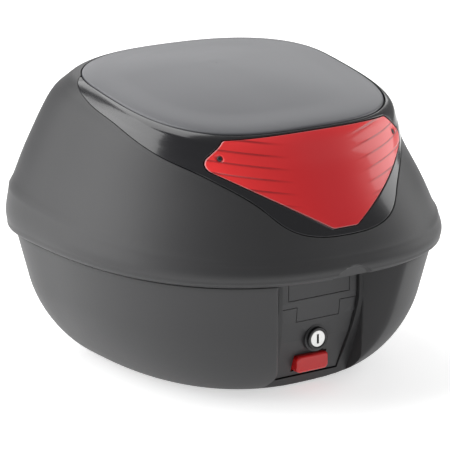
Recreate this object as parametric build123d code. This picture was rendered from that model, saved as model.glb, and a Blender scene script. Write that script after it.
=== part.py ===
from build123d import *
from build123d.topology import SkipClean
import os
from functools import cache
from math import cos, pi, sin

# Motorcycle top case: a hard luggage box that clips on a rear rack plate.
# Millimetres. +Z is up, -Y is the rear with the lock, +Y is the rider's side with the hinges.
# The origin is the middle of the whole box's footprint, on the ground plane.

# ---------------------------------------------------------------- driving dimensions
WIDEST_Y = 56.7                # the widest line of the case, in front of the middle
RIM_HALF, RIM_REAR, RIM_FRONT = 196.5, 252.7, 139.3    # lid's lower edge, from the widest line
REAR_ROUND, FRONT_ROUND = 2.5, 3.0                     # roundness exponents of the outline

RIM_Z = 131.0                  # lower edge of the lid
SHOULDER_Z = 130.0             # top of the base's outer wall
LIP_FOOT_Z = 120.0             # the wall thickens from here up
LIP_TOP_Z = 138.0              # top of the base's inner lip
SEAL_TOP_Z = 140.8
LEDGE_Z = 141.0                # lid ledge that presses on the seal
LEDGE_THICK = 2.5
WALL = 3.0
COVER_THICK = 3.0              # painted cover, gloss trim and lens
BACKING_THICK = 0.8            # reflector foil behind the lens
JOINT_GAP = 0.6                # visible line between outer panels
COVER_MARGIN = 2.2             # the cover's edge lies this far inside the last section

# Lid sections from the rim up: half width, rear, front, rear and front roundness, middle y,
# height, tilt, and how far one millimetre of inset moves the outline in and the height down.
LID_SECTIONS = [
    (RIM_HALF, RIM_REAR, RIM_FRONT, 2.5, 3.0, WIDEST_Y, RIM_Z, 0.0, 1.0, 0.0),
    (200.5, 256.7, 143.3, 2.5, 3.0, WIDEST_Y, 133.5, 0.0, 1.0, 0.0),
    (203.0, 259.2, 145.8, 2.5, 3.0, WIDEST_Y, 141.0, 0.01, 1.0, 0.0),
    (200.5, 256.5, 143.5, 2.5, 3.0, WIDEST_Y, 171.0, 0.07, 1.0, 0.0),
    (183.5, 240.0, 132.5, 2.5, 2.95, 53.6, 212.0, 0.12, 1.1, 0.1),
    (165.0, 218.0, 118.0, 2.5, 2.9, 50.0, 254.0, 0.17, 0.9, 0.5),
    (156.0, 197.0, 106.5, 2.8, 2.7, 45.0, 274.0, 0.167, 0.7, 0.7),
    (144.5, 168.0, 91.5, 3.2, 2.5, 38.9, 289.4, 0.16, 0.4, 0.9),
]
LID_INNER_INSETS = (3.0, 3.0, 3.0, 3.0, 5.5, 6.2, 6.2, 6.2)
CROWN_RISE = 10.0              # cover's middle above its edge
CROWN_STEPS = (0.72, 0.42, 0.14)
CROWN_SKIRT = 14.0             # depth of the solid that the cover is cut from

BASE_HEIGHTS = (0.0, 1.2, 4.5, 11.0, 22.0, 40.0, 80.0)
BASE_DRAFT = 0.23              # inward lean of the base wall
BASE_TOP_INSET = 1.65
BASE_TUCK = 53.5               # how far the round bottom edge comes in
BASE_TUCK_HEIGHT = 80.0
BASE_TUCK_POWER = 1.89
BASE_REAR_FACTOR = 1.06        # the rear leans in a little more than the sides
FLOOR_THICK = 3.5
LIP_INSETS = (4.0, 6.9)        # outer and inner face of the lip, from the rim outline
LIP_STEPS = (2.4, 5.3)         # the same beside the latch recess

# Edge of the gloss trim seen from the side: (y, z), running up from the rear.
TRIM_EDGE = [(-230.0, 136.0), (-187.0, 174.5), (-159.0, 203.5), (-121.0, 228.0), (-78.0, 244.0),
             (-17.0, 265.0), (37.0, 279.0), (80.0, 298.5), (120.0, 322.0)]
# Lens seen from behind, right half: (x, z, corner radius).
LENS_CORNERS = [(14.0, 178.5, 7.0), (121.5, 239.0, 8.0), (96.0, 261.5, 6.0)]
LENS_SCREW_X, LENS_SCREW_Y, LENS_SCREW_Z = 99.5, -118.0, 242.0
LENS_SCREW_AXIS = (0.46, 0.60, -0.65)          # on the left side, square to the skin
LENS_HEAD_R, LENS_SHANK_R = 2.8, 1.5
HEAD_DEPTH = 1.8               # lens screw heads sit this deep
CLIP_PLACES = [(x, y) for x in (-95.0, 0.0, 95.0) for y in (-55.0, 85.0)]
CLIP_STUD_R, CLIP_CAP_R, CLIP_CAP_THICK = 2.5, 6.0, 2.5
SCOOP_RADIUS, SCOOP_HEIGHT = 26.2, 12.0        # finger scoop in the lid's rear rim
SCOOP_Y = (-225.0, -206.5, -186.0)             # its mouth, and its sloping back at the top and low down

# Latch recess in the rear wall: plan (half width, y) from the mouth inwards, and inner face (y, z).
RECESS_PLAN = [(92.0, -212.0), (73.0, -180.0), (50.5, -147.5)]
FLANK_STEP = 1.2               # the slanting flanks move out by this much of a step
RECESS_FACE = [(-147.5, 160.0), (-147.5, 131.0), (-146.5, 80.0), (-141.5, 60.0), (-133.0, 36.0),
               (-124.0, 14.0), (-117.0, -5.0)]
POCKET_BACK_Y = -98.0          # back wall of the lock pocket
POCKET_LOW_Z = 12.0
POCKET_HALF_TOP, POCKET_HALF_LOW = 46.2, 37.6
HOOK_SLOT_HALF, HOOK_SLOT_Y = 17.0, -128.0     # slot in the floor for the hook and the rack's tab
CHEEK_POCKET = (50.0, -139.0, 62.0)            # half width, front y and low z of its wider part

# Lock panel: outer face (y, z) from the top down.
PANEL_FACE = [(-144.4, 130.0), (-144.4, 96.0), (-141.8, 75.0), (-137.0, 54.0), (-129.5, 34.0),
              (-122.5, 13.5)]
PANEL_THICK = 3.0
PANEL_HALF_TOP, PANEL_HALF_LOW, PANEL_LOW_Z = 45.4, 36.8, 13.5
PANEL_STRAIGHT_Z = 90.0        # above this the panel's sides are upright
TONGUE_HALF, TONGUE_LOW_Z = 25.3, 75.2         # lever's finger tongue
SHOULDER_LOW_Z = 90.6          # lower edge of the lever's shoulders
HANGER_HALF, HANGER_LOW_Z = 36.2, 98.4         # plate that hangs from the lid
HANGER_TOP = (-134.6, 122.0)                   # front y and low z of its thick top
TRAY_THICK = 2.5

LEVER_PIVOT_Y, LEVER_PIVOT_Z = -133.0, 118.0
LEVER_TOP_Z = 121.0
ARM_X = (42.2, 45.2)           # lever's pivot arms, each side
CHEEK_X = (45.8, 48.8)         # panel's cheeks that carry the pivot pins
LUG_X = (36.2, 41.4)           # hanger's lugs under the lever's noses
LUG_Z, NOSE_Z = (99.0, 103.6), (104.0, 107.0)
LOCK_BAR_HALF, LOCK_BAR_Y = 6.0, (-140.5, -123.5, -121.5)      # lever's bar and its lip for the cam
LOCK_BAR_Z = (77.0, 81.0, 84.0)
BOSS_R, POST_R = 3.8, 4.0
PIN_R = 2.0
RUNNING_GAP = 0.05
SCREW_R = 1.6

LOCK_Z = 54.0
PLUG_R, BARREL_R, BEZEL_R, COLLAR_R = 8.4, 10.6, 11.5, 13.6
PLUG_FACE_Y, BEZEL_FACE_Y, COLLAR_FACE_Y = -143.2, -143.7, -140.5
NUT_Y = (-131.0, -128.2)
NUT_R = 13.5                   # to the nut's corners
CAM_Y = (-126.5, -124.5)
CAM_REACH = 25.5
KEY_SLOT = (2.4, 9.5, 9.0)     # width, height and depth
TAIL_R, HUB_R, CAM_HALF = 4.0, 8.0, 4.5

BUTTON_Z, BUTTON_HALF_X, BUTTON_HALF_Z = 27.2, 19.2, 8.9
BUTTON_FACE_Y, BUTTON_BACK_Y = -135.4, -118.5
SPRING_X, SPRING_R, SPRING_WIRE = 13.0, 3.2, 0.45
STEM_Z, NOSE_R = 30.0, 3.0
HOOK_PIVOT_Y, HOOK_PIVOT_Z = -108.0, 14.0
HOOK_FACE_Y = -111.0           # arm face that the button's nose pushes
NOSE_GAP = 0.3

HINGE_X = (-70.0, 70.0)
HINGE_Y, HINGE_Z = 197.4, 126.0
KNUCKLE_R = 4.6
KNUCKLE_SPANS = ((-18.0, -8.0), (8.0, 18.0))   # base's barrels
ARM_BARREL_HALF = 7.6                          # lid's barrel between them
BARREL_ROOM = 6.0                              # radius kept free round the lid's barrel
LEAF_HALF, LEAF_Y, LEAF_Z = 18.0, (180.0, 195.0), (104.0, 120.0)
ARM_HALF, ARM_PAD_HALF = 7.5, 16.0
ARM_Y, ARM_PAD_Z = (160.0, 203.0), (145.0, 158.0)

CATCH_X = (-60.0, 60.0)        # pockets for the rack plate's front tongues
CATCH_Y = (79.5, 94.5)
CATCH_TOP_Z = 15.0
CATCH_HALF, CATCH_MOUTH = 14.0, 5.0            # half width, and where the floor opening starts
CATCH_STEEL = (7.5, 2.0)                       # depth and thickness of the steel plate


EGG_POINTS = 48                # spline points of one outline
CUT_TOP, CUT_REAR, CUT_HALF = 160.0, -170.0, 60.0      # how far the cutting tools of the latch reach

# ---------------------------------------------------------------- shared shapes

def egg_points(half, rear, front, n_rear, n_front, y_mid, z, tilt=0.0, start=0.0):
    """Closed outline round +Z: a rounded egg whose rear and front parts have their own length
    and roundness. The outline tilts about its widest line. start is the angle of its seam."""
    points = []
    for i in range(EGG_POINTS):
        angle = start + 2 * pi * i / EGG_POINTS
        c, s = cos(angle), sin(angle)
        length, n = (rear, n_rear) if s < 0 else (front, n_front)
        radius = (abs(c / half) ** n + abs(s / length) ** n) ** (-1 / n)
        along = radius * s
        points.append(Vector(radius * c, y_mid + along * cos(tilt), z + along * sin(tilt)))
    return points


def egg_wire(*sizes):
    return Wire([Edge.make_spline(egg_points(*sizes), periodic=True)])


def lid_wires(insets):
    """Section wires of the lid's outside from the rim to the crown, each moved in by its inset."""
    wires = []
    for section, inset in zip(LID_SECTIONS, insets):
        half, rear, front, n_rear, n_front, y_mid, z, tilt, inward, down = section
        w = inset * inward
        wires.append(egg_wire(half - w, rear - w, front - w, n_rear, n_front, y_mid, z - inset * down, tilt))
    for scale in CROWN_STEPS:
        rise = CROWN_RISE * (1 - scale ** 2)
        low = inset * (down + (1 - down) * (1 - scale))
        wires.append(egg_wire((half - w) * scale, (rear - w) * scale, (front - w) * scale, n_rear, n_front,
                              y_mid - rise * sin(tilt), z + rise * cos(tilt) - low, tilt))
    return wires


@cache
def lid_top(inset):
    """The lid's outside above the crease, moved in by inset."""
    return Solid.make_loft(lid_wires([inset] * len(LID_SECTIONS))[3:], ruled=True)


@cache
def lid_form(insets):
    """The lid's whole outside as one solid, each section moved in: skirt, crease, wall and crown."""
    wires = lid_wires(insets)
    skirt = Solid.make_loft(wires[0:3], ruled=True)
    belt = Solid.make_loft(wires[2:4], ruled=True)
    body = Solid.make_loft(wires[3:], ruled=True)
    return skirt + belt + body


def even(inset):
    return (inset,) * len(LID_SECTIONS)


def base_inset(z):
    """How far the base outline has come in from the rim outline at height z."""
    lean = BASE_TOP_INSET + BASE_DRAFT * (RIM_Z - z)
    if z >= BASE_TUCK_HEIGHT:
        return lean
    t = (BASE_TUCK_HEIGHT - z) / BASE_TUCK_HEIGHT
    return lean + BASE_TUCK * (1 - (1 - t ** BASE_TUCK_POWER) ** (1 / BASE_TUCK_POWER))


@cache
def base_form(inset, top):
    """The base's outside up to top as one solid. With an inset it is the space inside the wall."""
    floor = FLOOR_THICK if inset else 0.0
    wires = []
    for z in BASE_HEIGHTS + (top,):
        d = base_inset(z) + inset
        wires.append(egg_wire(RIM_HALF - d, RIM_REAR - BASE_REAR_FACTOR * d, RIM_FRONT - d, REAR_ROUND,
                              FRONT_ROUND, WIDEST_Y, floor + z * (top - floor) / top))
    return Solid.make_loft(wires[:-1], ruled=False) + Solid.make_loft(wires[-2:], ruled=True)


def prism(points, direction):
    return Solid.extrude(Face(Wire.make_polygon([Vector(*p) for p in points])), Vector(*direction))


def prism_x(points_yz, half):
    return prism([(-half, y, z) for y, z in points_yz], (2 * half, 0, 0))


def prism_y(points_xz, y_low, y_high):
    return prism([(x, y_low, z) for x, z in points_xz], (0, y_high - y_low, 0))


def prism_z(points_xy, z_low, z_high):
    return prism([(x, y, z_low) for x, y in points_xy], (0, 0, z_high - z_low))


def mirrored(points):
    """Both halves of an outline given as its right half."""
    return points + [(-x, y) for x, y in reversed(points)]


def block(x0, x1, y0, y1, z0, z1):
    return Solid.make_box(x1 - x0, y1 - y0, z1 - z0, Plane(origin=(x0, y0, z0)))


def rod(start, direction, radius, length):
    return Solid.make_cylinder(radius, length, Plane(origin=start, z_dir=direction))


def mirror_pair(shape):
    return Compound([shape, shape.mirror(Plane.YZ)])


def joined(*shapes):
    whole = shapes[0]
    for shape in shapes[1:]:
        whole = whole + shape
    return whole


def cut(shape, *tools):
    for tool in tools:
        shape = shape - tool
    return shape


def screw(seat, direction, length, head_r=3.2, head_h=2.0):
    """Pan-head screw. seat is where the head's underside rests, direction points down the shank."""
    back = Vector(*direction) * -head_h
    return rod(Vector(*seat) + back, direction, head_r, head_h) + rod(seat, direction, SCREW_R, length)


# ---------------------------------------------------------------- zones that cut the shells
def recess_plan(step):
    """Plan of the latch recess and lock pocket, moved out into the case by step."""
    (x0, y0), (x1, y1), (x2, y2) = RECESS_PLAN
    side = step * FLANK_STEP
    return mirrored([(x0 + side, y0), (x1 + side, y1), (x2 + step, y2), (x2 + step, POCKET_BACK_Y + step)])


def rim_prism(inset, z_low, z_high):
    """Upright prism on the rim outline, moved in by inset."""
    wire = egg_wire(RIM_HALF - inset, RIM_REAR - inset, RIM_FRONT - inset, REAR_ROUND, FRONT_ROUND,
                    WIDEST_Y, z_low)
    return Solid.extrude(Face(wire), Vector(0, 0, z_high - z_low))


def rim_region(inset, step, z_low, z_high):
    """Area inside the rim outline and clear of the latch recess."""
    return rim_prism(inset, z_low, z_high) - prism_z(recess_plan(step), z_low - 1, z_high + 1)


def rim_ring(insets, steps, z_low, z_high):
    outer = rim_region(insets[0], steps[0], z_low, z_high)
    return outer - rim_region(insets[1], steps[1], z_low - 1, z_high + 1)


def recess_zone():
    """Space of the latch recess: a flaring mouth with a sloping inner face."""
    behind = [(-260.0, -5.0), (-260.0, CUT_TOP)]
    return prism_z(recess_plan(0.0), -5.0, CUT_TOP) & prism_x(behind + RECESS_FACE, 130.0)


def pocket_zone():
    """Space behind the lock panel that holds the mechanism, wider where the cheeks sit."""
    outline = [(POCKET_HALF_LOW, POCKET_LOW_Z), (POCKET_HALF_TOP, PANEL_STRAIGHT_Z), (POCKET_HALF_TOP, CUT_TOP)]
    half, y_front, z_low = CHEEK_POCKET
    cheek_room = block(-half, half, y_front, POCKET_BACK_Y, z_low, CUT_TOP)
    return prism_y(mirrored(outline), CUT_REAR, POCKET_BACK_Y) + cheek_room


def trim_zone():
    """Everything above the gloss trim's edge, across the whole width."""
    side = -260.0
    curve = Edge.make_spline([Vector(side, y, z) for y, z in TRIM_EDGE])
    (y0, z0), (y1, z1) = TRIM_EDGE[0], TRIM_EDGE[-1]
    corners = [Vector(side, y1, z1), Vector(side, y1, 420), Vector(side, y0, 420), Vector(side, y0, z0)]
    edges = [Edge.make_line(a, b) for a, b in zip(corners, corners[1:])]
    return Solid.extrude(Face(Wire([curve] + edges)), Vector(-2 * side, 0, 0))


def cover_zone(grow=0.0):
    """Upright prism on the painted cover's outline."""
    half, rear, front, n_rear, n_front, y_mid = LID_SECTIONS[-1][:6]
    level = cos(LID_SECTIONS[-1][7])
    step = grow - COVER_MARGIN
    wire = egg_wire(half + step, rear * level + step, front * level + step, n_rear, n_front, y_mid,
                    200.0, 0.0, pi)
    return Solid.extrude(Face(wire), Vector(0, 0, 220))


@cache
def crown_dome(grow, drop):
    """Solid under the cover's outer face, lowered by drop: upright sides and a low crown."""
    half, rear, front, n_rear, n_front, y_mid, z, tilt = LID_SECTIONS[-1][:8]
    step = grow - COVER_MARGIN
    edge = (half + step, rear + step, front + step, n_rear, n_front, y_mid)
    wires = [egg_wire(*edge, z - CROWN_SKIRT, tilt, pi), egg_wire(*edge, z - drop, tilt, pi)]
    for scale in CROWN_STEPS:
        rise = CROWN_RISE * (1 - scale ** 2)
        wires.append(egg_wire(half * scale, rear * scale, front * scale, n_rear, n_front,
                              y_mid - rise * sin(tilt), z + rise * cos(tilt) - drop, tilt, pi))
    return Solid.make_loft(wires, ruled=True)


def lens_zone(grow=0.0):
    """Prism along Y on the lens outline, with rounded corners."""
    right = [(x, z) for x, z, r in LENS_CORNERS]
    sketch = Polygon(*mirrored(right), align=None)
    for x, z, r in LENS_CORNERS:
        corners = [v for v in sketch.vertices() if abs(abs(v.X) - x) < 0.01 and abs(v.Y - z) < 0.01]
        sketch = fillet(corners, r)
    if grow:
        sketch = offset(sketch, grow)
    face = (Plane(origin=(0, -60, 0), x_dir=(1, 0, 0), z_dir=(0, -1, 0)) * sketch).face()
    return Solid.extrude(face, Vector(0, -200, 0))


def outer_panel(zone, *openings):
    """Panel of the lid's outer skin inside a zone."""
    return cut(lid_top(0.0) & zone, *openings) - lid_top(COVER_THICK)


# ---------------------------------------------------------------- base
def base_shell():
    """Moulded lower half: round bottom edge, latch recess, lip under the lid, plate pockets."""
    outer = joined(base_form(0.0, SHOULDER_Z), rim_prism(LIP_INSETS[0], SHOULDER_Z, LIP_TOP_Z))
    outer = outer - prism_z(recess_plan(LIP_STEPS[0]), SHOULDER_Z, LIP_TOP_Z + 5)
    space = base_form(WALL, LIP_FOOT_Z) - prism_z(recess_plan(WALL), -5.0, 190.0)
    upper_space = rim_region(LIP_INSETS[1], LIP_STEPS[1], LIP_FOOT_Z, 190.0)
    shell = cut(outer, space, upper_space, recess_zone(), pocket_zone())
    shell = shell - block(-HOOK_SLOT_HALF, HOOK_SLOT_HALF, HOOK_SLOT_Y, POCKET_BACK_Y, -5.0, POCKET_LOW_Z + 0.5)
    back, front = CATCH_Y
    for x in CATCH_X:
        wide = CATCH_HALF + WALL
        shell = shell + block(x - wide, x + wide, back - WALL, front + WALL, 1.0, CATCH_TOP_Z + WALL)
        shell = shell - block(x - CATCH_HALF, x + CATCH_HALF, back, front, FLOOR_THICK, CATCH_TOP_Z)
        shell = shell - block(x - CATCH_HALF, x + CATCH_HALF, back + CATCH_MOUTH, front, -5.0, CATCH_TOP_Z)
    for seat, direction, length in leaf_screw_places() + panel_screw_places():
        shell = shell - rod(Vector(*seat) - Vector(*direction), direction, SCREW_R, length + 1.0)
    return shell


def rim_seal():
    """Rubber seal on the lip."""
    insets = (LIP_INSETS[0] + 0.2, LIP_INSETS[1] - 0.2)
    steps = (LIP_STEPS[0] + 0.2, LIP_STEPS[1] - 0.2)
    return rim_ring(insets, steps, LIP_TOP_Z, SEAL_TOP_Z)


def front_catches():
    """Steel plates in the floor pockets that the rack plate's tongues hook over."""
    depth, thick = CATCH_STEEL
    half, back = CATCH_HALF - 0.2, CATCH_Y[0]
    return Compound([block(x - half, x + half, back + 0.1, back + depth, FLOOR_THICK, FLOOR_THICK + thick)
                     for x in CATCH_X])


# ---------------------------------------------------------------- hinges
def leaf_screw_places():
    z = (LEAF_Z[0] + LEAF_Z[1]) / 2
    return [((x + dx, LEAF_Y[1], z), (0, -1, 0), 12.0) for x in HINGE_X for dx in (-12.0, 12.0)]


def hinge_leaves():
    """Base halves of the hinges: a pad on the wall with two barrels."""
    outside = base_form(0.0, SHOULDER_Z)
    leaves = []
    for x in HINGE_X:
        pad = block(x - LEAF_HALF, x + LEAF_HALF, *LEAF_Y, *LEAF_Z) - outside
        for x0, x1 in KNUCKLE_SPANS:
            neck = block(x + x0, x + x1, LEAF_Y[0], HINGE_Y + 2.6, LEAF_Z[1] - 2.0, HINGE_Z) - outside
            barrel = rod((x + x0, HINGE_Y, HINGE_Z), (1, 0, 0), KNUCKLE_R, x1 - x0)
            pad = joined(pad, neck, barrel)
        pad = pad - rod((x - 20.0, HINGE_Y, HINGE_Z), (1, 0, 0), PIN_R, 40.0)
        half = ARM_BARREL_HALF + 0.4
        pad = pad - rod((x - half, HINGE_Y, HINGE_Z), (1, 0, 0), BARREL_ROOM, 2 * half)
        for seat, direction, length in leaf_screw_places():
            pad = pad - rod(seat, direction, SCREW_R, length)
        leaves.append(pad)
    return Compound(leaves)


def hinge_leaf_screws():
    return Compound([screw(*place) for place in leaf_screw_places()])


def hinge_pins():
    half = LEAF_HALF + 0.5
    return Compound([rod((x - half, HINGE_Y, HINGE_Z), (1, 0, 0), PIN_R, 2 * half) for x in HINGE_X])


def arm_screw_places():
    z = (ARM_PAD_Z[0] + ARM_PAD_Z[1]) / 2
    return [((x + dx, 187.0, z), (0, 1, 0), 9.0) for x in HINGE_X for dx in (-11.0, 11.0)]


def hinge_arms():
    """Lid halves of the hinges: a barrel, a neck through the lid's rim and a pad inside."""
    arms = []
    outside = lid_form(even(0.3))
    wall = lid_form(even(WALL))
    inside = lid_form(even(WALL + 3.5))
    for x in HINGE_X:
        barrel = rod((x - ARM_BARREL_HALF, HINGE_Y, HINGE_Z), (1, 0, 0), KNUCKLE_R, 2 * ARM_BARREL_HALF)
        left, right = x - ARM_HALF, x + ARM_HALF
        low_neck = block(left, right, HINGE_Y - 2.0, HINGE_Y + 3.0, HINGE_Z, RIM_Z + 4.0)
        neck = (outside & block(left, right, 185.0, ARM_Y[1], RIM_Z + 0.2, LEDGE_Z + 0.2)) - wall
        root = (outside & block(left, right, 170.0, ARM_Y[1], LEDGE_Z + 0.2, ARM_PAD_Z[0] + 1.0)) - inside
        pad = (wall & block(x - ARM_PAD_HALF, x + ARM_PAD_HALF, *ARM_Y, *ARM_PAD_Z)) - inside
        arm = joined(barrel, low_neck, neck, root, pad)
        arm = arm - rod((x - 20.0, HINGE_Y, HINGE_Z), (1, 0, 0), PIN_R + RUNNING_GAP, 40.0)
        for seat, direction, length in arm_screw_places():
            arm = arm - rod(seat, direction, SCREW_R, length)
        arms.append(arm)
    return Compound(arms)


def hinge_arm_screws():
    return Compound([screw(*place) for place in arm_screw_places()])


# ---------------------------------------------------------------- lid
def scoop_zone(radius, shift):
    """Finger scoop under the rear rim: an arch cut back by a sloping floor."""
    mouth, top, low = SCOOP_Y
    arch = rod((0, mouth, RIM_Z + SCOOP_HEIGHT - SCOOP_RADIUS), (0, 1, 0), radius, 60.0)
    slope = [(mouth, 120.0), (mouth, 150.0), (top + shift, 150.0), (low + shift, 120.0)]
    return arch & prism_x(slope, 40.0)


def lid_shell():
    """Moulded upper half, stepped in under the cover, trim and lens."""
    outer = lid_form(even(0.0))
    under_trim = cut(trim_zone(), cover_zone(0.0)) - lid_top(COVER_THICK)
    under_cover = crown_dome(0.4, -20.0) - crown_dome(0.4, COVER_THICK)
    shell = cut(outer, lid_form(LID_INNER_INSETS), under_trim, under_cover)
    ledge = rim_prism(-4.0, LEDGE_Z, LEDGE_Z + LEDGE_THICK) - rim_prism(9.0, 130.0, 150.0)
    shell = shell + (ledge - prism_z(recess_plan(9.3), 130.0, 150.0))
    pad = scoop_zone(SCOOP_RADIUS + WALL, WALL) & block(-40.0, 40.0, SCOOP_Y[0], -150.0, RIM_Z, 150.0)
    shell = (shell + (pad & outer)) - scoop_zone(SCOOP_RADIUS, 0.0)
    for x in HINGE_X:
        half, pad_half = ARM_HALF + 0.4, ARM_PAD_HALF + 0.5
        shell = shell - block(x - half, x + half, 175.0, 210.0, 120.0, ARM_PAD_Z[0] + 1.2)
        shell = shell - block(x - pad_half, x + pad_half, ARM_Y[0], 193.0,
                              LEDGE_Z - 1.0, LEDGE_Z + LEDGE_THICK + 1.0)
    for seat, direction, length in arm_screw_places():
        shell = shell - rod(seat, direction, SCREW_R, length)
    for x, y in CLIP_PLACES:
        shell = shell - rod((x, y, 250.0), (0, 0, 1), CLIP_STUD_R, 80.0)
    shell = shell - (lens_zone(-2.0) - lid_top(COVER_THICK + BACKING_THICK))
    return cut(shell, *lens_screw_holes())



def cover_clips():
    """Moulded studs under the cover with push-on caps inside the lid."""
    upper = crown_dome(0.0, COVER_THICK)
    inner = lid_form(LID_INNER_INSETS)
    clips = []
    for x, y in CLIP_PLACES:
        stud = upper & rod((x, y, 255.0), (0, 0, 1), CLIP_STUD_R, 80.0)
        cap = inner & rod((x, y, 255.0), (0, 0, 1), CLIP_CAP_R, 80.0)
        clips.append((stud + cap) - inner.moved(Location((0, 0, -CLIP_CAP_THICK))))
    return Compound(clips)


def top_cover():
    return crown_dome(0.0, 0.0) - crown_dome(0.0, COVER_THICK)


def gloss_trim():
    """Horseshoe panel round the cover's rear, with the lens opening."""
    return outer_panel(trim_zone(), cover_zone(JOINT_GAP), lens_zone(JOINT_GAP))


def lens_screw_rods(radius, length):
    """Rods along both lens screws, from 10 mm outside the skin inwards."""
    rods = []
    inward, ahead, down = LENS_SCREW_AXIS
    for side in (-1, 1):
        axis = Vector(-inward * side, ahead, down)
        start = Vector(side * LENS_SCREW_X, LENS_SCREW_Y, LENS_SCREW_Z) - axis * 10.0
        rods.append(rod(start, axis, radius, length))
    return rods


def lens_screw_holes():
    return lens_screw_rods(LENS_SHANK_R, 30.0)


def lens():
    """Red reflector lens, flush with the trim."""
    plate = outer_panel(lens_zone(), cover_zone(JOINT_GAP))
    heads = [hole - lid_top(HEAD_DEPTH) for hole in lens_screw_rods(LENS_HEAD_R + 0.1, 30.0)]
    return cut(plate, *heads, *lens_screw_holes())


def reflector_backing():
    """Bright foil behind the lens."""
    foil = (lid_top(COVER_THICK) & lens_zone(-2.2)) - lid_top(COVER_THICK + BACKING_THICK)
    return cut(foil, cover_zone(JOINT_GAP), *lens_screw_holes())


def lens_screws():
    outer = lid_top(0.0)
    seat = lid_top(HEAD_DEPTH)
    heads = [(bar & outer) - seat for bar in lens_screw_rods(LENS_HEAD_R, 30.0)]
    shanks = [bar & seat for bar in lens_screw_rods(LENS_SHANK_R, 22.0)]
    return Compound([head + shank for head, shank in zip(heads, shanks)])


# ---------------------------------------------------------------- latch
def latch_tray():
    """Tray under the lid's rear that closes the recess and presses on the seal beside it."""
    low = prism_z(recess_plan(1.4), RIM_Z + 0.3, LEDGE_Z + 1.0)
    flange = prism_z(recess_plan(9.0), LEDGE_Z, LEDGE_Z + LEDGE_THICK)
    tray = (low + flange) - prism_z(recess_plan(-1.1), RIM_Z + TRAY_THICK + 0.3, CUT_TOP)
    tray = tray & lid_form(LID_INNER_INSETS)
    scoop_middle = RIM_Z + SCOOP_HEIGHT - SCOOP_RADIUS
    tray = tray - rod((0, SCOOP_Y[0], scoop_middle), (0, 1, 0), SCOOP_RADIUS + WALL + 0.3, 45.0)
    return cut(tray, *hanger_screw_holes())


def hanger_screw_places():
    return [((x, -138.4, RIM_Z + TRAY_THICK + 0.3), (0, 0, -1), 11.0) for x in (-22.0, 22.0)]


def hanger_screw_holes():
    return [rod(Vector(*seat) - Vector(*axis), axis, SCREW_R, length + 1.0)
            for seat, axis, length in hanger_screw_places()]


def hanger_screws():
    return Compound([screw(*place) for place in hanger_screw_places()])


def panel_band(z_low, z_high):
    """Slice of the lock panel's curved plate, across the whole width."""
    inside = [(y + PANEL_THICK, z) for y, z in reversed(PANEL_FACE)]
    band = prism_x(PANEL_FACE + inside, CUT_HALF)
    return band & block(-CUT_HALF, CUT_HALF, CUT_REAR, -100.0, z_low, z_high)


def latch_hanger():
    """Plate that hangs from the tray in front of the lock pocket, with two catch lugs."""
    band = panel_band(HANGER_LOW_Z, SHOULDER_Z)
    plate = band & block(-HANGER_HALF, HANGER_HALF, CUT_REAR, -100.0, 90.0, 140.0)
    front, low = HANGER_TOP
    top = block(-HANGER_HALF, HANGER_HALF, PANEL_FACE[0][0], front, low, RIM_Z + 0.3)
    ribs = [block(x - 1.5, x + 1.5, -142.0, -136.0, LUG_Z[0], low + 1.0) for x in (-24.0, 0.0, 24.0)]
    lug = block(LUG_X[0] - 4.0, LUG_X[1], -141.0, -135.5, *LUG_Z)
    foot = block(LUG_X[0] - 4.0, LUG_X[0], -142.0, -135.5, LUG_Z[0], 110.0)
    hanger = joined(plate, top, *ribs, lug, foot, lug.mirror(Plane.YZ), foot.mirror(Plane.YZ))
    return cut(hanger, *hanger_screw_holes())


def lever_front():
    """Outline of the lever from behind: tongue, shoulders and side arms."""
    right = [(TONGUE_HALF, TONGUE_LOW_Z), (TONGUE_HALF, SHOULDER_LOW_Z), (PANEL_HALF_TOP, SHOULDER_LOW_Z),
             (PANEL_HALF_TOP, LEVER_TOP_Z), (HANGER_HALF + JOINT_GAP, LEVER_TOP_Z),
             (HANGER_HALF + JOINT_GAP, HANGER_LOW_Z - JOINT_GAP)]
    return prism_y(mirrored(right), CUT_REAR, -100.0)


def latch_lever():
    """Pull lever: a T plate with pivot arms, two noses over the lid's lugs and a lock bar."""
    lever = panel_band(TONGUE_LOW_Z, LEVER_TOP_Z) & lever_front()
    for side in (-1, 1):
        x0, x1 = sorted((side * ARM_X[0], side * ARM_X[1]))
        web = block(x0, x1, -142.0, LEVER_PIVOT_Y, NOSE_Z[0], LEVER_TOP_Z)
        boss = rod((x0, LEVER_PIVOT_Y, LEVER_PIVOT_Z), (1, 0, 0), BOSS_R, x1 - x0)
        nose_in, nose_out = sorted((side * (HANGER_HALF + 1.0), side * ARM_X[0]))
        nose = block(nose_in, nose_out, -142.0, -135.0, *NOSE_Z)
        lever = joined(lever, web, boss, nose)
        lever = lever - rod((x0 - 1.0, LEVER_PIVOT_Y, LEVER_PIVOT_Z), (1, 0, 0), PIN_R + RUNNING_GAP, 6.0)
    outer, inner, end = LOCK_BAR_Y
    lip_low, bar_low, bar_high = LOCK_BAR_Z
    bar = block(-LOCK_BAR_HALF, LOCK_BAR_HALF, outer, end, bar_low, bar_high)
    lip = block(-LOCK_BAR_HALF, LOCK_BAR_HALF, inner, end, lip_low, bar_low)
    return joined(lever, bar, lip)


def lever_pins():
    pin = rod((ARM_X[0] - 0.2, LEVER_PIVOT_Y, LEVER_PIVOT_Z), (1, 0, 0), PIN_R, CHEEK_X[1] - ARM_X[0] + 0.2)
    return mirror_pair(pin)


def panel_screw_places():
    places = []
    for x, z in ((40.0, 68.0), (31.0, 24.0)):
        for side in (-1, 1):
            places.append(((side * x, POCKET_BACK_Y + WALL, z), (0, -1, 0), 12.0))
    return places


def panel_screws():
    return Compound([screw(*place) for place in panel_screw_places()])


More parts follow.
